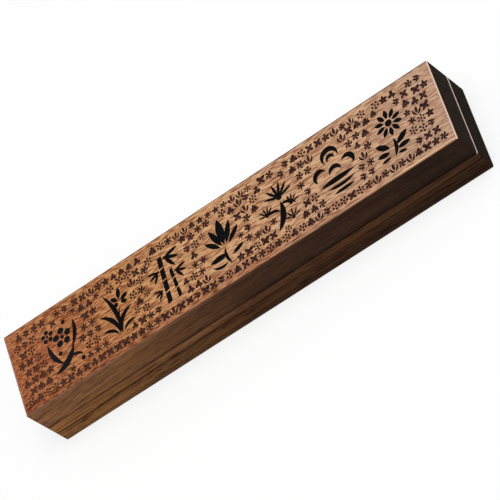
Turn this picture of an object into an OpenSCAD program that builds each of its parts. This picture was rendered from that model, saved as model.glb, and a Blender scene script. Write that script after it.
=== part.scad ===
// Long wooden incense box: a hollowed base and a hollowed lid that lifts off a lip.
// Seven plant and cloud motifs are cut into the top of the lid and filled with lacquer.
// Millimetres. The origin is the centre of the underside, X runs along the box,
// Y runs from the front to the back, and Z is up.

/* [Box] */
// Length of the closed box
box_l = 235; // [225:1:250]
// Width of the closed box
box_w = 45; // [42:1:50]
// Height of the base, up to the seam
base_h = 14.5; // [12:0.5:20]
// Height of the lid, above the seam
lid_h = 16.5; // [13:0.5:22]
// Rounding of the long and short outer edges
edge_r = 0.9; // [0.3:0.1:1.2]
// Rounding of the four upright corners
corner_r = 1.5; // [0.5:0.25:2]
// Bevel on both sides of the seam
seam_bevel = 0.6; // [0.2:0.1:0.8]

/* [Hollow] */
// Wood left under the hollow of the base
floor_t = 3.5; // [2.5:0.5:5]
// Wood left above the hollow of the lid
roof_t = 4.5; // [3.5:0.5:6]
// Corner radius of both hollows in plan
hollow_r = 4; // [2:0.5:6]
// Rounding where the walls of a hollow meet its floor
hollow_floor_r = 1; // [0.5:0.25:2]

/* [Lip] */
// Flat rim outside the lip, on which the lid sits
rim_w = 3.3; // [2.5:0.1:4.5]
// Height of the lip above the seam
lip_h = 2.5; // [2:0.5:4]
// Thickness of the lip along the long sides
lip_w = 2.2; // [1.6:0.1:3]
// Thickness of the lip at both ends, where the magnets sit
lip_end_w = 5.7; // [5.2:0.1:8]
// Corner radius of the lip in plan
lip_r = 1.5; // [0.5:0.25:2.5]
// Bevel round the top of the lip
lip_bevel = 0.3; // [0.1:0.1:0.4]
// Clearance beside the lip
lip_gap = 0.15; // [0.1:0.05:0.3]
// Clearance above the lip
lip_head_gap = 0.3; // [0.2:0.1:0.6]

/* [Magnets] */
// Diameter of a magnet
magnet_d = 4; // [3:0.25:4.25]
// Thickness of a magnet
magnet_t = 2; // [1:0.25:3]
// Distance between the two magnets of one end
magnet_pitch = 24; // [16:1:26]
// Glue line round a magnet in its bore
magnet_gap = 0.05; // [0.02:0.01:0.1]

/* [Carving] */
// Height of a motif, from the front to the back of the lid
motif_h = 25; // [20:1:30]
// Distance from an end of the lid to the middle of the nearest motif
motif_margin = 27.5; // [24:0.5:32]
// Depth to which a motif is cut
carve_d = 0.8; // [0.6:0.1:1.5]
// Thickness of the lacquer in a motif
lacquer_t = 0.5; // [0.2:0.1:0.5]

/* [Hidden] */
$fn = 96;
// Steps in the quarter turn of an outer edge, a corner in plan and a hollow's floor edge
edge_steps = 4;
corner_steps = 8;
floor_steps = 3;
// A quarter turn of one step is a flat bevel
bevel_step = 1;
// How far a shape that cuts or is cut runs past the face
past = 1;

box_h = base_h + lid_h;
// The lip stands on the base between the rim and the hollow
lip_l = box_l - 2 * rim_w;
lip_span = box_w - 2 * rim_w;
lip_top = base_h + lip_h;
hollow_l = lip_l - 2 * lip_end_w;
hollow_w = lip_span - 2 * lip_w;
// The lid is cut back over the lip, with clearance beside it and above it
rebate_top = lip_top + lip_head_gap;
roof_z = box_h - roof_t;
// The magnets sit in the middle of the thick ends of the lip
magnet_x = hollow_l / 2 + lip_end_w / 2;
// Each motif is drawn about the middle of a grid, 25 squares high; this is the side of a square
grid_square = motif_h / 25;
motifs = ["plum", "orchid", "bamboo", "lotus", "pine", "cloud", "aster"];
motif_pitch = (box_l - 2 * motif_margin) / (len(motifs) - 1);

// Points of an arc about [x, y], from angle a0 to angle a1
function arc(x, y, r, a0, a1, steps) =
  [for (i = [0:steps]) let (a = a0 + (a1 - a0) * i / steps) [x + r * cos(a), y + r * sin(a)]];

// Unit vector at angle a
function direction(a) = [cos(a), sin(a)];

// Outline of a rectangle with its corners rounded, centred on the origin
function rounded_outline(l, w, r, steps) = concat(
  arc(l / 2 - r, w / 2 - r, r, 0, 90, steps),
  arc(-l / 2 + r, w / 2 - r, r, 90, 180, steps),
  arc(-l / 2 + r, -w / 2 + r, r, 180, 270, steps),
  arc(l / 2 - r, -w / 2 + r, r, 270, 360, steps)
);

// Upright section of a block: low and high are [rounding, steps] of its bottom and top edges
function block_section(span, z0, z1, low, high) = concat(
  arc(span / 2 - high[0], z1 - high[0], high[0], 0, 90, high[1]),
  arc(-span / 2 + high[0], z1 - high[0], high[0], 90, 180, high[1]),
  arc(-span / 2 + low[0], z0 + low[0], low[0], 180, 270, low[1]),
  arc(span / 2 - low[0], z0 + low[0], low[0], 270, 360, low[1])
);

// A block from z0 to z1 with rounded upright corners and rounded or bevelled edges
module block(l, w, z0, z1, r, low, high) {
  intersection() {
    translate([0, 0, z0 - past])
      linear_extrude(z1 - z0 + 2 * past) polygon(rounded_outline(l, w, r, corner_steps));
    rotate([90, 0, 0])
      linear_extrude(w + 2 * past, center = true) polygon(block_section(l, z0, z1, low, high));
    rotate([90, 0, 90])
      linear_extrude(l + 2 * past, center = true) polygon(block_section(w, z0, z1, low, high));
  }
}

// Places what follows at each of the four magnet positions
module at_magnet(x_side, y_side, z) {
  translate([x_side * magnet_x, y_side * magnet_pitch / 2, z]) children();
}

module magnet_bores(z) {
  for (x_side = [-1, 1], y_side = [-1, 1])
    at_magnet(x_side, y_side, z) cylinder(h = magnet_t + past, d = magnet_d + 2 * magnet_gap);
}

// Base: a block of wood, hollowed from above, with the lip left standing round the hollow
module base() {
  color("#6b4526")
  difference() {
    union() {
      block(box_l, box_w, 0, base_h, corner_r, [edge_r, edge_steps], [seam_bevel, bevel_step]);
      block(lip_l, lip_span, floor_t, lip_top, lip_r,
        [lip_bevel, bevel_step], [lip_bevel, bevel_step]);
    }
    block(hollow_l, hollow_w, floor_t, lip_top + 2 * past, hollow_r,
      [hollow_floor_r, floor_steps], [lip_bevel, bevel_step]);
    magnet_bores(lip_top - magnet_t);
  }
}

// Lid: a block of wood, hollowed from below, rebated over the lip and carved on top
module lid() {
  color("#b07c50")
  difference() {
    block(box_l, box_w, base_h, box_h, corner_r, [seam_bevel, bevel_step], [edge_r, edge_steps]);
    block(lip_l + 2 * lip_gap, lip_span + 2 * lip_gap, base_h - 2 * past, rebate_top,
      lip_r + lip_gap, [lip_bevel, bevel_step], [lip_bevel, bevel_step]);
    block(hollow_l, hollow_w, base_h - 2 * past, roof_z, hollow_r,
      [hollow_floor_r, floor_steps], [hollow_floor_r, floor_steps]);
    translate([0, 0, -past]) magnet_bores(rebate_top);
    for (i = [0:len(motifs) - 1]) motif_solid(i, box_h - carve_d, carve_d + past);
  }
}

// Magnets: nickel-plated discs, glued into the lip and into the lid above it
module base_magnet(x_side, y_side) {
  color("#c9c6bf") at_magnet(x_side, y_side, lip_top - magnet_t) cylinder(h = magnet_t, d = magnet_d);
}

module lid_magnet(x_side, y_side) {
  color("#c9c6bf") at_magnet(x_side, y_side, rebate_top) cylinder(h = magnet_t, d = magnet_d);
}

// Lacquer: fills the bottom of one carved motif
module lacquer(i) {
  color("#161412") motif_solid(i, box_h - carve_d, lacquer_t);
}

// One motif as a solid that starts at z and is t thick; the first motif is the left one
module motif_solid(i, z, t) {
  translate([(i - (len(motifs) - 1) / 2) * motif_pitch, 0, z])
    linear_extrude(t) scale(grid_square) motif(motifs[i]);
}

module motif(name) {
  if (name == "plum") plum();
  if (name == "orchid") orchid();
  if (name == "bamboo") bamboo();
  if (name == "lotus") lotus();
  if (name == "pine") pine();
  if (name == "cloud") cloud();
  if (name == "aster") aster();
}

// Carries a stroke drawn along +X from the origin to its place, from a towards b
module from_to(a, b) {
  translate(a) rotate(atan2(b[1] - a[1], b[0] - a[0])) children();
}

// Radius of the circle through both ends of a chord of length l that rises h above it
function bow_radius(l, h) = (l * l / 4 + h * h) / (2 * h);

// Pointed leaf from a to b, w wide in the middle: what two equal circles share
module leaf(a, b, w) {
  l = norm(b - a);
  r = bow_radius(l, w / 2);
  from_to(a, b) intersection() {
    translate([l / 2, w / 2 - r]) circle(r);
    translate([l / 2, r - w / 2]) circle(r);
  }
}

// Curved blade from a to b, w wide in the middle, that bulges by bow to the left,
// or to the right where bow is negative
module blade(a, b, bow, w) {
  l = norm(b - a);
  outer = abs(bow) + w / 2;
  inner = abs(bow) - w / 2;
  outer_r = bow_radius(l, outer);
  inner_r = bow_radius(l, inner);
  from_to(bow > 0 ? a : b, bow > 0 ? b : a) difference() {
    translate([l / 2, outer - outer_r]) circle(outer_r);
    translate([l / 2, inner - inner_r]) circle(inner_r);
  }
}

// Straight stroke from a to b, wa wide at a and wb wide at b, with ends that slant alike
module stroke(a, b, wa, wb) {
  l = norm(b - a);
  slant = 0.25;
  from_to(a, b)
    polygon([[slant * wa, -wa / 2], [l + slant * wb, -wb / 2], [l, wb / 2], [0, wa / 2]]);
}

// Blossom of five round petals about a round heart, r from its middle to its rim
module blossom(at, r) {
  petal_r = r / 3;
  heart_r = r / 5;
  translate(at) {
    circle(heart_r);
    for (i = [0:4]) rotate(90 + 72 * i) translate([r - petal_r, 0]) circle(petal_r);
  }
}

// Ray petals about a round heart: each is a leaf that starts clear of the heart
module rays(at, r, heart_r, count, w) {
  translate(at) {
    circle(heart_r);
    for (i = [0:count - 1]) rotate(90 + 360 * i / count) leaf([heart_r + w / 4, 0], [r, 0], w);
  }
}

// Fan of needles that spring from one bud, between the angles a0 and a1
module needle_fan(at, r, a0, a1, count) {
  bud_r = r / 6;
  needle_w = r / 5.5;
  step = (a1 - a0) / (count - 1);
  translate(at) {
    circle(bud_r);
    for (i = [0:count - 1]) rotate(a0 + i * step) leaf([0, 0], [r, 0], needle_w);
  }
}

// Three leaves that hang from one knuckle; side is 1 for the right and -1 for the left
module leaf_spray(at, side, l) {
  leaf_w = l / 4.2;
  knuckle_r = l / 12;
  translate(at) circle(knuckle_r);
  for (a = [12, -24, -58]) leaf(at, at + l * [side * cos(a), sin(a)], leaf_w);
}

// Plum: a bent branch with two blossoms and three buds
module plum() {
  blade([5.8, -2], [-7.5, -11.6], 2.2, 3.4);
  blade([4.4, -3.4], [8.4, 10.6], -1.6, 2.2);
  blade([-1.2, -8.8], [-7, 5], 1.8, 2.4);
  blade([2.2, -7.4], [9, -9.4], 1, 1.6);
  blossom([1.2, 4.6], 5);
  blossom([-6, 9], 3.4);
  for (at = [[8.4, -11.4], [3.6, 11.4], [-2, -2.8]]) translate(at) circle(1.1);
}

// Orchid: arching leaves and one open flower on a bent stem
module orchid() {
  blade([-0.4, -12], [-9, 1.8], -2.6, 2.2);
  blade([0.8, -12], [9, -1], 3, 2.3);
  blade([-1.2, -11.6], [-9.2, -7], -1.6, 1.7);
  blade([0.2, -11.8], [-4.4, 11.4], -2.2, 2.3);
  blade([1.8, -11.4], [8.8, -8.6], 1.4, 1.6);
  blade([0.4, -11.4], [3, 1.4], 1.2, 1.3);
  // Each petal is [angle, reach] from the flower's middle, and starts clear of it
  flower = [3.2, 4];
  for (petal = [[80, 7], [20, 5.6], [140, 5], [-28, 4.4], [-150, 4]])
    leaf(flower + 0.9 * direction(petal[0]), flower + petal[1] * direction(petal[0]), 2.3);
}

// Bamboo: two jointed stems and sprays of hanging leaves
module bamboo() {
  // The joints of each stem follow one another at a steady pitch
  for (i = [0:3]) translate(i * [0.3, 6.2]) stroke([-3, -12.4], [-2.8, -6.8], 2.6, 2.4);
  for (i = [0:2]) translate(i * [-0.3, 5.4]) stroke([2.6, -12.4], [2.4, -7.5], 1.9, 1.7);
  leaf_spray([0.4, 10.6], 1, 8.2);
  leaf_spray([-4.4, 5.4], -1, 6.2);
  leaf_spray([3.8, 1.4], 1, 6.2);
  leaf_spray([-5, -4.4], -1, 5.2);
}

// Lotus: an open flower over a broad leaf, on a bent stem
module lotus() {
  leaf([0, -1.4], [0, 12.2], 4.2);
  for (side = [-1, 1]) {
    leaf([side * 1.2, -1.6], [side * 5.6, 9], 2.9);
    leaf([side * 2.2, -2.2], [side * 9.2, 4.2], 2.5);
  }
  blade([1.2, -12.4], [0, -3], 1.2, 1.6);
  leaf([-9.4, -7], [0.4, -6.6], 3);
  blade([-9, -9.2], [-0.4, -10.4], -1.6, 1.5);
  leaf([2.4, -8.6], [9.2, -5.8], 2.2);
}

// Pine: a leaning trunk with two branches and four fans of needles
module pine() {
  blade([1.4, 1.6], [-3.6, -12.2], 2, 3.2);
  blade([1.2, 0], [8.6, -3.6], 1.2, 1.8);
  blade([-7.6, -2], [0.4, -3.4], 1.4, 1.7);
  needle_fan([1.6, 3.6], 8.2, 20, 160, 6);
  needle_fan([6.2, -2.4], 5, 15, 135, 5);
  needle_fan([-6.4, -1.6], 5, 45, 165, 5);
  needle_fan([5.2, -9.6], 5, 20, 160, 5);
}

// Cloud: five scrolls over three wisps
module cloud() {
  blade([-2.8, 4.4], [3.8, 5.4], 6.2, 2.8);
  blade([-1.4, 5], [2, 5.4], 2.6, 1.9);
  blade([-9, -2.2], [-3.8, 1.6], 3.7, 2.5);
  blade([4.6, 2], [9.2, -2.4], 3.5, 2.5);
  blade([-2.6, -1.8], [3.4, -1.6], 3.2, 2.4);
  leaf([-9.4, -5.4], [9.4, -4.6], 2.9);
  blade([9, -7.4], [-6.6, -7.8], 1.1, 1.9);
  leaf([-4, -11.6], [7.6, -11.2], 1.9);
}

// Aster: one open flower, a bent stem and six leaves
module aster() {
  rays([0.8, 5], 7, 1.7, 10, 2.2);
  blade([-1.6, -12.4], [0.2, -3], -1.2, 1.9);
  for (side = [-1, 1]) {
    leaf([side * 1.8 - 0.8, -7], [side * 8.2 - 0.6, -2.6], 3);
    leaf([side * 2 - 1.2, -9], [side * 8.6 - 1, -8.4], 2.6);
    leaf([side * 1.8 - 1.6, -11.2], [side * 6.6 - 1.8, -12], 1.7);
  }
}

base();
lid();
base_magnet(-1, -1);  // base_magnet_left_front
base_magnet(-1, 1);  // base_magnet_left_back
base_magnet(1, -1);  // base_magnet_right_front
base_magnet(1, 1);  // base_magnet_right_back
lid_magnet(-1, -1);  // lid_magnet_left_front
lid_magnet(-1, 1);  // lid_magnet_left_back
lid_magnet(1, -1);  // lid_magnet_right_front
lid_magnet(1, 1);  // lid_magnet_right_back
lacquer(0);  // plum_lacquer
lacquer(1);  // orchid_lacquer
lacquer(2);  // bamboo_lacquer
lacquer(3);  // lotus_lacquer
lacquer(4);  // pine_lacquer
lacquer(5);  // cloud_lacquer
lacquer(6);  // aster_lacquer
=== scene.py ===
# A long incense box of streaked hardwood: a hollowed base and a carved, lacquered lid.
# Everything is in metres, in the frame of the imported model: X along the box, Z up.
import math
import random

import bmesh
import bpy
import numpy as np
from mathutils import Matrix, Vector
from mathutils.bvhtree import BVHTree
from mathutils.geometry import delaunay_2d_cdt


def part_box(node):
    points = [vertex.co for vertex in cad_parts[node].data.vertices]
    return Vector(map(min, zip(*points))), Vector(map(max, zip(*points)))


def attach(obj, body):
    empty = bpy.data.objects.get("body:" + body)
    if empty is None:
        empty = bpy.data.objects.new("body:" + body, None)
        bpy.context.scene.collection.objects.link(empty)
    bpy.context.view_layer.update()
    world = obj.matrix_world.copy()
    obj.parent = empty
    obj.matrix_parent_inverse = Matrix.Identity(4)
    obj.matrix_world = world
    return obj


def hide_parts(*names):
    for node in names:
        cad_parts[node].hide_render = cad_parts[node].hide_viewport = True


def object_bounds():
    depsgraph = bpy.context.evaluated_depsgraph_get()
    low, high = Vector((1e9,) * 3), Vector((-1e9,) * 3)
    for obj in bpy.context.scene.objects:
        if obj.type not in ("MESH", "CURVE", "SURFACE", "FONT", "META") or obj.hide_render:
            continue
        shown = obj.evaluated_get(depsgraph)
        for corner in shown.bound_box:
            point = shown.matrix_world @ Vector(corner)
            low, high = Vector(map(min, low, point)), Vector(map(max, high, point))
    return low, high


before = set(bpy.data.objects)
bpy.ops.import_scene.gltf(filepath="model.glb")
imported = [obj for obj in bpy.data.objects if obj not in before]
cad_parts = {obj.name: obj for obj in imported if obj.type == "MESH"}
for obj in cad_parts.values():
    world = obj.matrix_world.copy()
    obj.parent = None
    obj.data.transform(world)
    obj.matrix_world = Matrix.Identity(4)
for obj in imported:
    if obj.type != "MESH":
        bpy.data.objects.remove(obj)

cad_low, cad_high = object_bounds()
MM = 0.001

# Camera
# A long lens, tilted so that the box lies across the picture from the lower left to the
# upper right. Place and turn come from the box's corners in the photograph.
camera_data = bpy.data.cameras.new("camera")
camera_data.lens = 262.9
camera_data.sensor_width = 36.0
camera_data.clip_start = 0.1
camera_data.clip_end = 20.0
camera = bpy.data.objects.new("camera", camera_data)
camera.location = (0.5205, -0.9080, 1.2260)
camera.rotation_euler = [math.radians(turn) for turn in (25.596, 32.914, -18.963)]
bpy.context.scene.collection.objects.link(camera)
bpy.context.scene.camera = camera


# Base
# The lower half of the box, cut from one block of streaked brown hardwood: hollowed from
# above by a router, with a lip left standing, then sanded and waxed. Its shape is the CAD's.
def linear(hex_colour):
    """Turns an sRGB hex colour to linear red, green, blue and alpha."""
    shares = [int(hex_colour[i:i + 2], 16) / 255 for i in (1, 3, 5)]
    return [s / 12.92 if s <= 0.04045 else ((s + 0.055) / 1.055) ** 2.4 for s in shares] + [1.0]


def add(tree, kind, settings=None, feeds=None):
    """Adds a shader node: settings are its options and values, feeds the sockets that feed it.
    Sockets that share a name on their node, such as those of a Math node, go by number."""
    node = tree.nodes.new("ShaderNode" + kind)
    for key, value in (settings or {}).items():
        if key == "stops":
            ends = node.color_ramp.elements
            while len(ends) < len(value):
                ends.new(0.5)
            for end, (place, colour) in zip(ends, value):
                end.position = place
                end.color = linear(colour)
        elif isinstance(key, str) and hasattr(node, key):
            setattr(node, key, value)
        else:
            node.inputs[key].default_value = value
    for key, socket in (feeds or {}).items():
        tree.links.new(socket, node.inputs[key])
    return node


def new_material(name):
    """An empty material with its output and its shader: returns material, tree and shader."""
    material = bpy.data.materials.new(name)
    material.use_nodes = True
    tree = material.node_tree
    tree.nodes.clear()
    shader = add(tree, "BsdfPrincipled")
    add(tree, "OutputMaterial", feeds={"Surface": shader.outputs["BSDF"]})
    return material, tree, shader


# Ways in which a Mix node lays one colour over another, and the numbers of its sockets: the
# share, then the one below, the one above and the mixture, for colours, vectors and numbers
TINT = {"data_type": "RGBA"}
DARKEN = {"data_type": "RGBA", "blend_type": "MULTIPLY"}
LIGHTEN = {"data_type": "RGBA", "blend_type": "DODGE"}
SHARE = 0
BELOW, ABOVE, MIXED = 6, 7, 2
BELOW_VECTOR, ABOVE_VECTOR, MIXED_VECTOR = 4, 5, 1
BELOW_NUMBER, ABOVE_NUMBER, MIXED_NUMBER = 2, 3, 0

# Palest colours of the wood from the left end to the right one, at these shares of its length:
# redder at the left, browner and darker on the sides, which were cut across the growth rings.
# The side tones also hold painted shade, which deepens towards the right end
TONE_PLACES = (0.04, 0.27, 0.52, 0.95)
TOP_TONES = ("#BA7853", "#D09B6A", "#DDB28A", "#CBA78D")
BASE_SIDE_TONES = ("#8A603D", "#6A4A31", "#4B3223", "#38261A")
# What a dark streak, the middle tone and the palest streak leave of those colours, and a pore
TOP_SHADES = ((0.33, "#AE9089"), (0.5, "#DDCEC6"), (0.64, "#F7F2E7"))
SIDE_SHADES = ((0.3, "#9FA1A8"), (0.5, "#E0DDDA"), (0.65, "#FFFDE6"))
PORE_SHADE = "#5C443A"
# How far each step to paler wood lifts the colours, and the redder wood at the front dims them
PALE_GAIN = "#918A80"
HEARTWOOD = "#DFCACC"
# Painted highlights on the arrises of the top, across the grain and at the front, and what the
# painted shade along the joint, with a little dust, leaves of the colours
ARRIS_HIGHLIGHT = "#F5D8C5"
RIM_HIGHLIGHT = "#EFBE96"
JOINT_SHADE = "#7C6C62"
# Below the base's brim: a painted greyish sheen at the left end that turns dark further right,
# at these shares of its length
BRIM_SHEEN_PLACES = (0.1, 0.6)
BASE_BRIM_SHEEN = ("#9C7860", "#513A2B")
# The base's end grain, dark from the wax and with painted shade, and where in its streaks these
# two colours stand
RING_PLACES = (0.35, 0.65)
BASE_END_GRAIN = ("#1A130F", "#271E19")

# Length and width of the figure's parts, of the wandering of the fibres, and of the patches by
# which the tones change. Real fibres and pores are finer: they are as coarse as they need to show
BANDS = (140 * MM, 3.4 * MM)
STREAKS = (18 * MM, 1.1 * MM)
FIBRES = (4 * MM, 0.5 * MM)
DARK_LINES = (50 * MM, 1.8 * MM)
PORES = (5 * MM, 0.5 * MM)
WANDERING = (24 * MM, 9 * MM)
PATCHES = (55 * MM, 16 * MM)
# Size of an upright streak in the end grain: into the wood, across the end and up it
RINGS = (20 * MM, 1.2 * MM, 9 * MM)
# How much bands, streaks and fibres count on the top, where the fibres tell most, and on the
# sides, where the bands do
TOP_WEIGHTS = (0.25, 0.3, 1.7)
SIDE_WEIGHTS = (0.8, 0.6, 0.7)
# How far the fibres wander on the sides and on the top, and how far along the box a tone's front
# is uneven
SIDE_SWAY = (0, 0, 1.6 * MM)
TOP_SWAY = (0, 2.2 * MM, 0)
TONE_SWAY = 90 * MM
# Strips along the front of the top, by how far inside the front face each begins and is full:
# the redder heartwood, the arris with its painted highlight, and the sides' dark skin, which
# holds painted shade, lapping over it
HEARTWOOD_STRIP = (9.5 * MM, 1.5 * MM)
RIM_HIGHLIGHT_STRIP = (2.0 * MM, 1.6 * MM)
LAP_STRIP = (1.35 * MM, 1.0 * MM)
# How deep that dark skin goes
SKIN = 1.5 * MM
# The painted shade line, with a little dust, along the foot of the lid: the height of its
# middle above the joint, and how far from there it is full and ends
JOINT_SHADE_HEIGHT = 1.4 * MM
JOINT_SHADE_HALF_WIDTHS = (0.4 * MM, 0.9 * MM)
# The strip below each half's brim, with its painted sheen: how far below it begins and is full
BRIM_SHEEN_STRIP = (0.7 * MM, 0.3 * MM)
# The dark line at the foot of a step to paler wood: how far from its middle it is full and ends
GROWTH_LINE_HALF_WIDTHS = (0.15 * MM, 0.45 * MM)


def streaked_hardwood(name, shift, sink, sides, brim_sheen_tones, end_grain, strength, brim, growth):
    """Sanded, waxed hardwood with fine wavy streaks. Each half of the box is a block of its own:
    shift moves its grain, and sink is how far that sinks towards the left end. Sides are its
    tones on the sides, whose painted shade deepens towards the right end. The brim tones after
    them lie just below its brim: a painted greyish sheen at the left end that turns dark further
    right. The tones of its ends, end_grain, are dark end grain with painted shade.
    Strength is that of its streaks on the sides. Growth lists the steps to paler wood up the
    sides: each has the height of its foot where the grain runs level, its depth, and how dark
    the line at its foot is."""
    material, tree, shader = new_material(name)

    # Left of the middle the grain sinks, ever more steeply
    place = add(tree, "TexCoord").outputs["Object"]
    axes = add(tree, "SeparateXYZ", feeds={0: place}).outputs
    left = add(tree, "Math", {"operation": "MINIMUM", 1: 0.0}, {0: axes["X"]}).outputs[0]
    square = add(tree, "Math", {"operation": "MULTIPLY"}, {0: left, 1: left}).outputs[0]
    height = add(tree, "Math", {"operation": "MULTIPLY_ADD", 1: sink / cad_low.x ** 2},
                 {0: square, 2: axes["Z"]}).outputs[0]
    bent = add(tree, "CombineXYZ", feeds={"X": axes["X"], "Y": axes["Y"], "Z": height}).outputs[0]

    def grain(size, detail, vector):
        """Noise drawn out along the box. Size is the length and the width of a streak."""
        along, across = size
        stretch = add(tree, "Mapping",
                      {"Location": shift, "Scale": (1 / along, 1 / across, 1 / across)},
                      {"Vector": vector}).outputs[0]
        return add(tree, "TexNoise", {"Scale": 1.0, "Detail": detail, "Roughness": 0.55},
                   {"Vector": stretch}).outputs

    # The fibres wander: by about a millimetre on faces that look up, and less on the sides
    facing = add(tree, "SeparateXYZ", feeds={0: add(tree, "NewGeometry").outputs["Normal"]}).outputs
    level = add(tree, "Math", {"operation": "ABSOLUTE"}, {0: facing["Z"]}).outputs[0]
    reach = add(tree, "Mix",
                {"data_type": "VECTOR", BELOW_VECTOR: SIDE_SWAY, ABOVE_VECTOR: TOP_SWAY},
                {SHARE: level}).outputs[MIXED_VECTOR]
    swing = grain(WANDERING, 2.5, bent)["Color"]
    swing = add(tree, "VectorMath", {"operation": "SUBTRACT", 1: (0.5, 0.5, 0.5)},
                {0: swing}).outputs[0]
    wavy = add(tree, "VectorMath", {"operation": "MULTIPLY_ADD"},
               {0: swing, 1: reach, 2: bent}).outputs[0]

    # The figure: broad bands of growth, streaks and fine fibres, added up so that its middle
    # stays at 0.5
    bands = grain(BANDS, 1.0, wavy)["Fac"]
    streaks = grain(STREAKS, 1.0, wavy)["Fac"]
    fibres = grain(FIBRES, 0.0, wavy)["Fac"]
    figures = []
    for weights in (TOP_WEIGHTS, SIDE_WEIGHTS):
        figure = add(tree, "Math",
                     {"operation": "MULTIPLY_ADD", 1: weights[0], 2: 0.5 - sum(weights) / 2},
                     {0: bands}).outputs[0]
        for weight, part in zip(weights[1:], (streaks, fibres)):
            figure = add(tree, "Math", {"operation": "MULTIPLY_ADD", 1: weight},
                         {0: part, 2: figure}).outputs[0]
        figures.append(figure)
    top_figure, side_figure = figures

    # Tones along the box, with an uneven front where one gives way to the next. The figure is
    # laid over them, and tells less towards the right end
    patches = grain(PATCHES, 2.0, bent)["Fac"]
    along = add(tree, "Math", {"operation": "MULTIPLY_ADD", 1: TONE_SWAY, 2: -TONE_SWAY / 2},
                {0: patches}).outputs[0]
    along = add(tree, "Math", {"operation": "ADD"}, {0: along, 1: axes["X"]}).outputs[0]
    along = add(tree, "MapRange", {"From Min": cad_low.x, "From Max": cad_high.x},
                {"Value": along}).outputs[0]
    top = add(tree, "ValToRGB", {"stops": list(zip(TONE_PLACES, TOP_TONES))},
              {"Fac": along}).outputs[0]
    shades = add(tree, "ValToRGB", {"stops": TOP_SHADES}, {"Fac": top_figure}).outputs[0]
    depth = add(tree, "MapRange",
                {"From Min": 0.6, "From Max": 0.95, "To Min": 1.0, "To Max": 0.7},
                {"Value": along}).outputs[0]
    top = add(tree, "Mix", DARKEN, {SHARE: depth, BELOW: top, ABOVE: shades}).outputs[MIXED]
    side = add(tree, "ValToRGB", {"stops": list(zip(TONE_PLACES, sides))},
               {"Fac": along}).outputs[0]
    shades = add(tree, "ValToRGB", {"stops": SIDE_SHADES}, {"Fac": side_figure}).outputs[0]
    depth = add(tree, "MapRange", {"To Min": strength, "To Max": 0.5 * strength},
                {"Value": along}).outputs[0]
    side = add(tree, "Mix", DARKEN, {SHARE: depth, BELOW: side, ABOVE: shades}).outputs[MIXED]

    # Redder heartwood runs along the front edge of the top and dies out towards the right end
    begin, full = (cad_low.y + inside for inside in HEARTWOOD_STRIP)
    front = add(tree, "MapRange", {"From Min": begin, "From Max": full},
                {"Value": axes["Y"]}).outputs[0]
    fading = add(tree, "MapRange", {"From Min": 0.95, "From Max": 0.6},
                 {"Value": along}).outputs[0]
    heart = add(tree, "Math", {"operation": "MULTIPLY"}, {0: front, 1: fading}).outputs[0]
    top = add(tree, "Mix", {**DARKEN, ABOVE: linear(HEARTWOOD)},
              {SHARE: heart, BELOW: top}).outputs[MIXED]

    # A painted highlight lies along the front arris of the top, growing towards the right end
    bright = add(tree, "MapRange", {"From Min": 0.45, "From Max": 0.9},
                 {"Value": along}).outputs[0]
    begin, full = (cad_low.y + inside for inside in RIM_HIGHLIGHT_STRIP)
    rim_highlight = add(tree, "MapRange", {"From Min": begin, "From Max": full, "To Max": 0.65},
              {"Value": axes["Y"]}).outputs[0]
    rim_highlight = add(tree, "Math", {"operation": "MULTIPLY"}, {0: rim_highlight, 1: bright}).outputs[0]
    top = add(tree, "Mix", {**TINT, ABOVE: linear(RIM_HIGHLIGHT)},
              {SHARE: rim_highlight, BELOW: top}).outputs[MIXED]

    # The darkened skin, whose side tones hold painted shade, is thin: faces deeper inside the box
    # have the tones of the top. It laps over the front arris a little, where that has no painted
    # highlight
    middle = (cad_low + cad_high) / 2
    inset = (cad_high - cad_low) / 2 - Vector((SKIN, SKIN, SKIN))
    inner = add(tree, "VectorMath", {"operation": "SUBTRACT", 1: middle}, {0: place}).outputs[0]
    inner = add(tree, "VectorMath", {"operation": "ABSOLUTE"}, {0: inner}).outputs[0]
    inner = add(tree, "VectorMath", {"operation": "SUBTRACT", 1: inset}, {0: inner}).outputs[0]
    inner = add(tree, "SeparateXYZ", feeds={0: inner}).outputs
    outer = add(tree, "Math", {"operation": "MAXIMUM"}, {0: inner["X"], 1: inner["Y"]}).outputs[0]
    outer = add(tree, "Math", {"operation": "MAXIMUM"}, {0: outer, 1: inner["Z"]}).outputs[0]
    outer = add(tree, "MapRange", {"From Min": -SKIN / 2, "From Max": SKIN / 2},
                {"Value": outer}).outputs[0]
    sideways = add(tree, "MapRange", {"From Min": 0.995, "From Max": 0.97},
                   {"Value": facing["Z"]}).outputs[0]
    begin, full = (cad_low.y + inside for inside in LAP_STRIP)
    lap = add(tree, "MapRange", {"From Min": begin, "From Max": full},
              {"Value": axes["Y"]}).outputs[0]
    spared = add(tree, "Math", {"operation": "MULTIPLY_ADD", 1: -0.6, 2: 1.0},
                 {0: bright}).outputs[0]
    lap = add(tree, "Math", {"operation": "MULTIPLY"}, {0: lap, 1: spared}).outputs[0]
    sideways = add(tree, "Math", {"operation": "MAXIMUM"}, {0: sideways, 1: lap}).outputs[0]
    sideways = add(tree, "Math", {"operation": "MULTIPLY"}, {0: sideways, 1: outer}).outputs[0]
    colour = add(tree, "Mix", TINT, {SHARE: sideways, BELOW: top, ABOVE: side}).outputs[MIXED]

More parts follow.
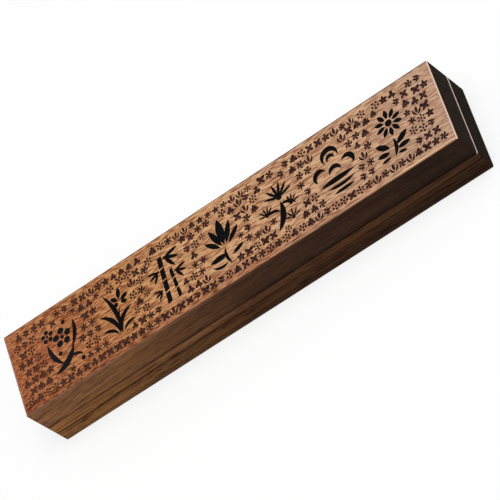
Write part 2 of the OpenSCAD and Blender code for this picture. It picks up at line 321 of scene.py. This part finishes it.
    # Thin dark lines where one streak meets the next, heavier in the heartwood and, on the
    # sides, with the strength of the streaks. Then open pores, which are short dark dashes, and
    # the lines at the feet of the paler wood
    lines = grain(DARK_LINES, 1.0, wavy)["Fac"]
    lines = add(tree, "Math", {"operation": "SUBTRACT", 1: 0.5}, {0: lines}).outputs[0]
    lines = add(tree, "Math", {"operation": "ABSOLUTE"}, {0: lines}).outputs[0]
    lines = add(tree, "MapRange", {"From Max": 0.045, "To Min": 0.6, "To Max": 0.0},
                {"Value": lines}).outputs[0]
    heavier = add(tree, "Math", {"operation": "ADD", 1: 0.35}, {0: heart}).outputs[0]
    heavier = add(tree, "Mix", {ABOVE_NUMBER: 1.3 * strength ** 2},
                  {SHARE: sideways, BELOW_NUMBER: heavier}).outputs[MIXED_NUMBER]
    lines = add(tree, "Math", {"operation": "MULTIPLY"}, {0: lines, 1: heavier}).outputs[0]
    pores = grain(PORES, 0.0, wavy)["Fac"]
    pores = add(tree, "MapRange", {"From Min": 0.6, "From Max": 0.72, "To Max": 0.3},
                {"Value": pores}).outputs[0]
    marks = add(tree, "Math", {"operation": "MAXIMUM"}, {0: lines, 1: pores}).outputs[0]
    lie = add(tree, "SeparateXYZ", feeds={0: wavy}).outputs["Z"]
    full, end = GROWTH_LINE_HALF_WIDTHS
    for foot, _, darkness in growth:
        line = add(tree, "Math", {"operation": "SUBTRACT", 1: foot}, {0: lie}).outputs[0]
        line = add(tree, "Math", {"operation": "ABSOLUTE"}, {0: line}).outputs[0]
        line = add(tree, "MapRange",
                   {"From Min": full, "From Max": end, "To Min": darkness, "To Max": 0.0},
                   {"Value": line}).outputs[0]
        marks = add(tree, "Math", {"operation": "MAXIMUM"}, {0: marks, 1: line}).outputs[0]
    colour = add(tree, "Mix", {**DARKEN, ABOVE: linear(PORE_SHADE)},
                 {SHARE: marks, BELOW: colour}).outputs[MIXED]

    # Painted shade, with a little dust, darkens the foot of the lid, above the joint. The strip
    # just below the brim of each half has a painted greyish sheen at the left end and is dark
    # further right
    joint = add(tree, "Math", {"operation": "SUBTRACT", 1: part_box("lid")[0].z + JOINT_SHADE_HEIGHT},
                {0: axes["Z"]}).outputs[0]
    joint = add(tree, "Math", {"operation": "ABSOLUTE"}, {0: joint}).outputs[0]
    full, end = JOINT_SHADE_HALF_WIDTHS
    joint = add(tree, "MapRange",
                {"From Min": full, "From Max": end, "To Min": 0.65, "To Max": 0.0},
                {"Value": joint}).outputs[0]
    joint = add(tree, "Math", {"operation": "MULTIPLY"}, {0: joint, 1: sideways}).outputs[0]
    colour = add(tree, "Mix", {**DARKEN, ABOVE: linear(JOINT_SHADE)},
                 {SHARE: joint, BELOW: colour}).outputs[MIXED]
    begin, full = (brim - below for below in BRIM_SHEEN_STRIP)
    brim_sheen = add(tree, "MapRange", {"From Min": begin, "From Max": full, "To Max": 0.4},
                 {"Value": axes["Z"]}).outputs[0]
    brim_sheen = add(tree, "Math", {"operation": "MULTIPLY"}, {0: brim_sheen, 1: sideways}).outputs[0]
    tones = add(tree, "ValToRGB", {"stops": list(zip(BRIM_SHEEN_PLACES, brim_sheen_tones))},
                {"Fac": along}).outputs[0]
    colour = add(tree, "Mix", TINT, {SHARE: brim_sheen, BELOW: colour, ABOVE: tones}).outputs[MIXED]

    # Paler wood up the sides, more so away from the left end
    fading = add(tree, "MapRange", {"From Min": 0.1, "From Max": 0.45, "To Min": 0.55},
                 {"Value": along}).outputs[0]
    fading = add(tree, "Math", {"operation": "MULTIPLY"}, {0: fading, 1: sideways}).outputs[0]
    for foot, step_depth, _ in growth:
        paler = add(tree, "MapRange", {"From Min": foot, "From Max": foot + step_depth},
                    {"Value": lie}).outputs[0]
        paler = add(tree, "Math", {"operation": "MULTIPLY"}, {0: paler, 1: fading}).outputs[0]
        colour = add(tree, "Mix", {**LIGHTEN, ABOVE: linear(PALE_GAIN)},
                     {SHARE: paler, BELOW: colour}).outputs[MIXED]

    # End grain drinks the wax and turns dark, with faint upright streaks. Its colours also hold
    # painted shade
    cross = add(tree, "Math", {"operation": "ABSOLUTE"}, {0: facing["X"]}).outputs[0]
    rings = add(tree, "Mapping", {"Scale": [1 / size for size in RINGS]}, {"Vector": place})
    rings = add(tree, "TexNoise", {"Scale": 1.0, "Detail": 2.0},
                {"Vector": rings.outputs[0]}).outputs["Fac"]
    ends = add(tree, "ValToRGB", {"stops": list(zip(RING_PLACES, end_grain))},
               {"Fac": rings}).outputs[0]
    share = add(tree, "MapRange", {"From Min": 0.75, "From Max": 0.95},
                {"Value": cross}).outputs[0]
    share = add(tree, "Math", {"operation": "MULTIPLY"}, {0: share, 1: outer}).outputs[0]
    colour = add(tree, "Mix", TINT, {SHARE: share, BELOW: colour, ABOVE: ends}).outputs[MIXED]

    # A painted highlight lies on the outer arrises across the grain, where they look up, fainter
    # at the left end
    steep = add(tree, "Math", {"operation": "POWER", 1: 3.0}, {0: facing["Z"]}).outputs[0]
    arris_highlight = add(tree, "Math", {"operation": "MULTIPLY"}, {0: cross, 1: steep}).outputs[0]
    arris_highlight = add(tree, "MapRange", {"From Min": 0.14, "From Max": 0.22, "To Max": 0.9},
               {"Value": arris_highlight}).outputs[0]
    arris_highlight = add(tree, "Math", {"operation": "MULTIPLY"}, {0: arris_highlight, 1: outer}).outputs[0]
    fading = add(tree, "MapRange", {"From Min": 0.1, "From Max": 0.5, "To Min": 0.3},
                 {"Value": along}).outputs[0]
    arris_highlight = add(tree, "Math", {"operation": "MULTIPLY"}, {0: arris_highlight, 1: fading}).outputs[0]
    colour = add(tree, "Mix", {**TINT, ABOVE: linear(ARRIS_HIGHLIGHT)},
                 {SHARE: arris_highlight, BELOW: colour}).outputs[MIXED]
    tree.links.new(colour, shader.inputs["Base Color"])

    # The wax has soaked in and leaves a faint sheen, duller in the open pores
    rough = add(tree, "MapRange", {"To Min": 0.65, "To Max": 0.85}, {"Value": marks}).outputs[0]
    tree.links.new(rough, shader.inputs["Roughness"])
    shader.inputs["Specular IOR Level"].default_value = 0.01
    hollows = add(tree, "Math", {"operation": "SUBTRACT"}, {0: top_figure, 1: marks}).outputs[0]
    relief = add(tree, "Bump", {"Strength": 0.3, "Distance": 0.12 * MM}, {"Height": hollows})
    tree.links.new(relief.outputs[0], shader.inputs["Normal"])
    return material


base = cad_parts["base"]
base.data.materials.clear()
base.data.materials.append(streaked_hardwood(
    "waxed_hardwood_base", shift=(0.31, 0.17, 0.05), sink=1.8 * MM, sides=BASE_SIDE_TONES,
    brim_sheen_tones=BASE_BRIM_SHEEN, end_grain=BASE_END_GRAIN, strength=1.0, brim=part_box("lid")[0].z,
    growth=((3.9 * MM, 0.4 * MM, 0.5), (10.3 * MM, 0.4 * MM, 0.9))))

# Lid
# The upper half, cut from a second block. Plant and cloud motifs are routed into its top for
# the lacquer, and rows of small marks between them are burnt in by a laser, 0.35 mm deep.
# The lid's side tones hold painted shade that deepens towards the right end. The tones below its
# brim are a painted greyish sheen at the left end that turns dark further right. Its end grain is
# dark, with painted shade
LID_SIDE_TONES = ("#8B6144", "#6E4C34", "#432D22", "#2E211A")
LID_BRIM_SHEEN = ("#6E5A50", "#1C130F")
LID_END_GRAIN = ("#1E1611", "#2D231D")
# The marks' depth and size, their pitch along a row and that of the rows, what the rows leave
# free at each end, and how far the marks stay from the motifs and from the edges of the top
MARK_DEPTH = 0.35 * MM
MARK_SIZE = 3.7 * MM
MARK_PITCH = 4.4 * MM
ROWS = 8
ROW_PITCH = 4.85 * MM
END_MARGIN = 2.6 * MM
CLEARANCE = 1.4 * MM
# Beside a motif a mark may move over by this share of a pitch, or get smaller by this factor.
# Its distance from another is at least this share of their two sizes added up
NUDGE = 0.3
SMALLER = 0.85
APART = 0.56
# By how many degrees a mark is turned at most
MAX_TURN = 7
# How heavy all strokes are, the swelling that their tips begin with, and how it widens them
WEIGHT = 1.06
TIP = 0.12
TAPER = 0.6
draw = random.Random(7)


def stroke(a, b, width, rise=0.0, steps=5):
    """Outline of a tapered stroke from a to b, width wide in the middle, that bows out by rise."""
    a, b = Vector(a), Vector(b)
    along = b - a
    aside = Vector((-along.y, along.x)).normalized()
    sides = [[], []]
    for i in range(steps + 1):
        t = i / steps
        swell = 4 * t * (1 - t)
        middle = a + along * t + aside * rise * swell
        half = WEIGHT * width / 2 * max(swell, TIP) ** TAPER
        sides[0].append(middle - aside * half)
        sides[1].append(middle + aside * half)
    return sides[0] + sides[1][::-1]


def ring(count, near, far, width, turn=90, rise=0.0, swirl=0):
    """Strokes that stand out from a centre like petals, or swirl round it by some degrees."""
    strokes = []
    for i in range(count):
        a = math.radians(turn + 360 * i / count)
        b = a + math.radians(swirl)
        start = (near * math.cos(a), near * math.sin(a))
        end = (far * math.cos(b), far * math.sin(b))
        strokes.append(stroke(start, end, width, rise))
    return strokes


# The kinds of marks, each drawn round its middle in shares of its size
def floret():
    return ring(5, 0.03, 0.58, 0.33)


def daisy():
    return ring(6, 0.22, 0.6, 0.25) + ring(1, -0.16, 0.16, 0.28)


def star():
    return ring(6, -0.02, 0.6, 0.21)


def crossed_leaves():
    return ring(4, 0.02, 0.64, 0.36, 45)


def whorl():
    return ring(5, 0.04, 0.58, 0.29, 90, -0.13, 65)


def dewdrops():
    return ring(5, 0.24, 0.58, 0.34, 60) + ring(1, -0.17, 0.17, 0.3)


def clover():
    return ring(3, 0.0, 0.56, 0.45) + [stroke((0, -0.06), (0.16, -0.6), 0.2, 0.07)]


def petals():
    return ring(3, 0.02, 0.6, 0.42, 90) + ring(3, 0.04, 0.54, 0.19, 30)


def sprig():
    feet = ((-0.12, -0.4, 1), (-0.06, -0.2, -1), (0.0, -0.02, 1), (0.04, 0.16, -1))
    leaves = [stroke((x, y), (x + side * 0.46, y + 0.26), 0.29, side * 0.05) for x, y, side in feet]
    return [stroke((-0.16, -0.56), (0.1, 0.58), 0.19, -0.06)] + leaves


def butterfly():
    wings = []
    for side in (-1, 1):
        wings.append(stroke((0.04 * side, 0.0), (0.56 * side, 0.46), 0.46))
        wings.append(stroke((0.04 * side, -0.06), (0.44 * side, -0.5), 0.34))
    return wings + [stroke((0, -0.38), (0, 0.38), 0.16)]


def bud():
    sides = [stroke((0.04 * side, -0.56), (0.52 * side, 0.26), 0.28, -0.13 * side)
             for side in (-1, 1)]
    return sides + [stroke((0, -0.3), (0, 0.58), 0.38)]


MARKS = (floret, daisy, star, crossed_leaves, whorl, dewdrops, clover, petals, sprig, butterfly,
         bud)


def carved_lid():
    """The CAD lid's mesh with the rows of small marks cut into the flat of its top."""
    shape = bmesh.new()
    shape.from_mesh(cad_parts["lid"].data)
    bmesh.ops.remove_doubles(shape, verts=shape.verts, dist=1e-6)
    top_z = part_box("lid")[1].z
    floor_z = top_z - MARK_DEPTH
    flats = [face for face in shape.faces
             if all(abs(corner.co.z - top_z) < 1e-6 for corner in face.verts)]
    chosen = set(flats)
    rims = [edge for edge in shape.edges
            if sum(face in chosen for face in edge.link_faces) == 1]
    flat_top = BVHTree.FromPolygons([corner.co.copy() for corner in shape.verts],
                                    [[corner.index for corner in face.verts] for face in flats])

    def on_flat(x, y):
        above = Vector((x, y, top_z + MM))
        return flat_top.ray_cast(above, Vector((0, 0, -1)), 2 * MM)[0] is not None

    rim_starts = np.array([edge.verts[0].co[:2] for edge in rims])
    rim_runs = np.array([edge.verts[1].co[:2] for edge in rims]) - rim_starts
    rim_squares = (rim_runs ** 2).sum(1)

    def clear_of_rims(points):
        """True if all of a mark's points lie on the flat, clear of the motifs and of the edges."""
        if not all(on_flat(x, y) for x, y in points):
            return False
        offsets = np.array(points)[:, None] - rim_starts
        share = np.clip((offsets * rim_runs).sum(2) / rim_squares, 0, 1)
        gaps = np.linalg.norm(offsets - rim_runs * share[..., None], axis=2)
        return gaps.min() > CLEARANCE

    # Each place in the staggered rows takes a mark. Beside a motif it moves over or gets smaller
    low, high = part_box("lid")
    per_row = int((high.x - low.x - 2 * END_MARGIN - MARK_SIZE) / MARK_PITCH) + 1
    moves = [(0, 0)]
    moves += [(NUDGE * x, NUDGE * y) for x in (-1, 0, 1) for y in (-1, 0, 1) if x or y]
    tries = [(shrink, over, up) for shrink in (1, SMALLER) for over, up in moves]
    cuts = []
    taken = []
    for row in range(ROWS):
        for column in range(per_row - row % 2):
            outlines = draw.choice(MARKS)()
            turn = math.radians(draw.uniform(-MAX_TURN, MAX_TURN))
            for shrink, over, up in tries:
                size = MARK_SIZE * shrink
                x = (column - (per_row - 1 - row % 2) / 2 + over) * MARK_PITCH
                y = (min(max(row + up, 0), ROWS - 1) - (ROWS - 1) / 2) * ROW_PITCH
                if any(math.hypot(x - other_x, y - other_y) < APART * (size + other_size)
                       for other_x, other_y, other_size in taken):
                    continue
                c, s = math.cos(turn) * size, math.sin(turn) * size
                placed = [[(x + c * p.x - s * p.y, y + s * p.x + c * p.y) for p in outline]
                          for outline in outlines]
                if clear_of_rims([point for outline in placed for point in outline]):
                    cuts += placed
                    taken.append((x, y, size))
                    break
    print("small marks:", len(taken), "strokes:", len(cuts))

    # The flat is laid out anew as triangles that keep to its rims and to the marks' outlines
    points = []
    edges = []
    faces = []
    number = {}
    for edge in rims:
        for corner in edge.verts:
            if corner not in number:
                number[corner] = len(points)
                points.append(Vector(corner.co[:2]))
        edges.append((number[edge.verts[0]], number[edge.verts[1]]))
    for outline in cuts:
        first = len(points)
        points += [Vector(point) for point in outline]
        faces.append(list(range(first, len(points))))
    spots, _, triangles, _, _, covering = delaunay_2d_cdt(points, edges, faces, 0, 1e-9)

    bmesh.ops.delete(shape, geom=flats, context="FACES_ONLY")
    upper = [None] * len(spots)
    lower = [None] * len(spots)

    def vertex(level, i, z):
        if level[i] is None:
            level[i] = shape.verts.new((spots[i][0], spots[i][1], z))
        return level[i]

    # Triangles inside a mark are its floor; the rest of the flat stays; walls join the two
    cut_edges = set()
    for triangle, covers in zip(triangles, covering):
        if covers:
            face = shape.faces.new([vertex(lower, i, floor_z) for i in triangle])
            face.material_index = 1
            cut_edges |= {(triangle[k - 1], triangle[k]) for k in range(3)}
            continue
        middle = (spots[triangle[0]] + spots[triangle[1]] + spots[triangle[2]]) / 3
        if on_flat(middle[0], middle[1]):
            shape.faces.new([vertex(upper, i, top_z) for i in triangle])
    for i, k in cut_edges:
        if (k, i) not in cut_edges:
            face = shape.faces.new([vertex(lower, k, floor_z), vertex(lower, i, floor_z),
                                    vertex(upper, i, top_z), vertex(upper, k, top_z)])
            face.material_index = 1
    bmesh.ops.remove_doubles(shape, verts=shape.verts, dist=1e-7)
    bmesh.ops.recalc_face_normals(shape, faces=shape.faces)
    for face in shape.faces:
        face.smooth = False
    mesh = bpy.data.meshes.new("carved_lid")
    shape.to_mesh(mesh)
    shape.free()
    return mesh


def scorched_wood():
    """Wood that a laser has burnt: dark brown, matte, with a soot-black bottom here and there.
    Towards the left end, where the wood is redder, it is burnt less."""
    material, tree, shader = new_material("laser_scorched_wood")
    spot = add(tree, "TexCoord").outputs["Object"]
    soot = add(tree, "TexNoise", {"Scale": 1 / (1.2 * MM), "Detail": 2.0},
               {"Vector": spot}).outputs["Fac"]
    burnt = add(tree, "ValToRGB", {"stops": [(0.35, "#28181A"), (0.65, "#4A2F29")]},
                {"Fac": soot}).outputs[0]
    place = add(tree, "SeparateXYZ", feeds={0: spot}).outputs["X"]
    less = add(tree, "MapRange",
               {"From Min": -0.3 * cad_high.x, "From Max": cad_low.x, "To Max": 0.45},
               {"Value": place}).outputs[0]
    colour = add(tree, "Mix", {**TINT, ABOVE: linear("#6B4632")},
                 {SHARE: less, BELOW: burnt}).outputs[MIXED]
    tree.links.new(colour, shader.inputs["Base Color"])
    shader.inputs["Roughness"].default_value = 0.85
    shader.inputs["Specular IOR Level"].default_value = 0.02
    return material


lid = bpy.data.objects.new("carved_lid", carved_lid())
bpy.context.scene.collection.objects.link(lid)
lid.data.materials.append(streaked_hardwood(
    "waxed_hardwood_lid", shift=(0.02, 0.41, 0.29), sink=9 * MM, sides=LID_SIDE_TONES,
    brim_sheen_tones=LID_BRIM_SHEEN, end_grain=LID_END_GRAIN, strength=0.75, brim=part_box("lid")[1].z,
    growth=((17.5 * MM, 4 * MM, 0.0),)))
lid.data.materials.append(scorched_wood())
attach(lid, "lid")
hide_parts("lid")


# Lacquer
# Black lacquer, brushed into the seven motifs and left below the surface of the wood.
def brushed_lacquer():
    """Black lacquer rubbed down to a satin gloss, uneven where the brush has passed. Towards the
    left end a faint grey sheen is painted into its colour."""
    material, tree, shader = new_material("brushed_black_lacquer")
    spot = add(tree, "TexCoord").outputs["Object"]
    passes = add(tree, "TexNoise", {"Scale": 1 / (2.5 * MM), "Detail": 3.0},
                 {"Vector": spot}).outputs["Fac"]
    black = add(tree, "ValToRGB", {"stops": [(0.3, "#050506"), (0.7, "#0C0C0E")]},
                {"Fac": passes}).outputs[0]
    place = add(tree, "SeparateXYZ", feeds={0: spot}).outputs["X"]
    painted_sheen = add(tree, "MapRange",
               {"From Min": -0.5 * cad_high.x, "From Max": cad_low.x, "To Max": 0.5},
               {"Value": place}).outputs[0]
    colour = add(tree, "Mix", {**TINT, ABOVE: linear("#26272B")},
                 {SHARE: painted_sheen, BELOW: black}).outputs[MIXED]
    tree.links.new(colour, shader.inputs["Base Color"])
    rough = add(tree, "MapRange", {"To Min": 0.3, "To Max": 0.5}, {"Value": passes}).outputs[0]
    tree.links.new(rough, shader.inputs["Roughness"])
    shader.inputs["Specular IOR Level"].default_value = 0.05
    relief = add(tree, "Bump", {"Strength": 0.3, "Distance": 0.1 * MM}, {"Height": passes})
    tree.links.new(relief.outputs[0], shader.inputs["Normal"])
    return material


lacquer = brushed_lacquer()
for name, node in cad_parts.items():
    if name.endswith("_lacquer"):
        node.data.materials.clear()
        node.data.materials.append(lacquer)


# Magnets
# Nickel-plated discs of 4 by 2 mm, glued into blind bores in the lip and in the lid above it.
def nickel_plate():
    """Barrel-plated nickel: a warm pale metal with a satin surface. Real scuffs are finer than
    these, which are as coarse as they need to show."""
    material, tree, shader = new_material("plated_nickel")
    spot = add(tree, "TexCoord").outputs["Object"]
    scuffs = add(tree, "TexNoise", {"Scale": 1 / (0.6 * MM), "Detail": 3.0},
                 {"Vector": spot}).outputs["Fac"]
    colour = add(tree, "ValToRGB", {"stops": [(0.3, "#B9B2A4"), (0.7, "#D3CDC0")]},
                 {"Fac": scuffs}).outputs[0]
    tree.links.new(colour, shader.inputs["Base Color"])
    shader.inputs["Metallic"].default_value = 1.0
    rough = add(tree, "MapRange", {"To Min": 0.2, "To Max": 0.4}, {"Value": scuffs}).outputs[0]
    tree.links.new(rough, shader.inputs["Roughness"])
    return material


nickel = nickel_plate()
for name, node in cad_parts.items():
    if "_magnet_" in name:
        node.data.materials.clear()
        node.data.materials.append(nickel)

# Table and light
# A plain white table top without an edge, under soft studio light from above. The camera and
# mirror-like surfaces see it almost evenly white, with a faint shadow under the box.
TABLE_REACH = 3.0
# How much of what they see of the table is evenly lit white paper
SEEN_AS_PAPER = 0.75
corners = [(x * TABLE_REACH, y * TABLE_REACH, 0) for x, y in ((-1, -1), (1, -1), (1, 1), (-1, 1))]
table_mesh = bpy.data.meshes.new("table")
table_mesh.from_pydata(corners, [], [(0, 1, 2, 3)])
table = bpy.data.objects.new("table", table_mesh)
bpy.context.scene.collection.objects.link(table)
white, tree, shader = new_material("matte_white_table")
shader.inputs["Base Color"].default_value = linear("#FCFCFC")
shader.inputs["Roughness"].default_value = 0.9
shader.inputs["Specular IOR Level"].default_value = 0.1
rays = add(tree, "LightPath").outputs
seen = add(tree, "Math", {"operation": "MAXIMUM"},
           {0: rays["Is Camera Ray"], 1: rays["Is Glossy Ray"]}).outputs[0]
seen = add(tree, "Math", {"operation": "MAXIMUM"},
           {0: seen, 1: rays["Is Transmission Ray"]}).outputs[0]
share = add(tree, "Math", {"operation": "MULTIPLY", 1: SEEN_AS_PAPER}, {0: seen}).outputs[0]
paper = add(tree, "Emission", {"Color": linear("#FFFFFF"), "Strength": 1.0})
mixed = add(tree, "MixShader", feeds={0: share, 1: shader.outputs[0], 2: paper.outputs[0]})
tree.links.new(mixed.outputs[0], tree.get_output_node("ALL").inputs["Surface"])
table.data.materials.append(white)

world = bpy.data.worlds.new("studio")
bpy.context.scene.world = world
world.use_nodes = True
world.node_tree.nodes.clear()
sky = add(world.node_tree, "Background", {"Color": linear("#FFFFFF"), "Strength": 0.5})
add(world.node_tree, "OutputWorld", feeds={"Surface": sky.outputs[0]})

softbox_data = bpy.data.lights.new("key_softbox", "AREA")
softbox_data.shape = "RECTANGLE"
softbox_data.size = 0.7
softbox_data.size_y = 0.7
softbox_data.energy = 9.0
softbox = bpy.data.objects.new("key_softbox", softbox_data)
softbox.location = (0.2, -0.05, 1.2)
softbox.rotation_euler = (-softbox.location).to_track_quat("-Z", "Y").to_euler()
bpy.context.scene.collection.objects.link(softbox)

bpy.context.scene.view_settings.view_transform = "Standard"
